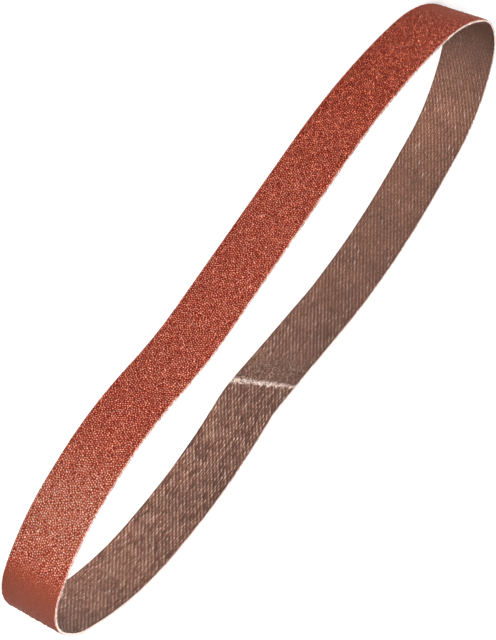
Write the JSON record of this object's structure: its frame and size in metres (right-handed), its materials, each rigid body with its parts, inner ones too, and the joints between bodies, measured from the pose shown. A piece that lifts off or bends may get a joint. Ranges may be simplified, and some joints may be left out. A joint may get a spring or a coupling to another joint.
{
  "type": "sanding belt",
  "caption": "Endless narrow abrasive belt for a sanding stick: red-brown grain outside, brown twill cloth inside, raw cut edges and a slanting lap joint.",
  "frame": {"origin": "under the middle of the standing loop's box, in the plane of the edge that it stands on", "axes": "+Z across the belt, from its lower cut edge to its upper one; +X along the long way of the slack loop; the lap joint is on the +Y strand"},
  "size_m": [0.1632, 0.044, 0.0127],
  "materials": {
    "back_size": "brown resin-filled twill, matt, with fine ribs across the belt",
    "backing_cloth": "raw pale cotton, slightly frayed at the cut edges",
    "make_coat": "dark red-brown cured resin, seen only as a thin line at the cut edges",
    "abrasive_grain": "closed coat of fine red-brown aluminium oxide grain",
    "size_coat": "thin red-brown resin over the grain, rough and slightly sparkling",
    "joint_adhesive": "pale cured glue with cloth fibres at its edge"
  },
  "bodies": {
    "root": {"back_size": "back_size", "backing_cloth": "backing_cloth", "make_coat": "make_coat", "abrasive_grain": "abrasive_grain", "size_coat": "size_coat", "joint_adhesive": "joint_adhesive"}
  },
  "joints": []
}
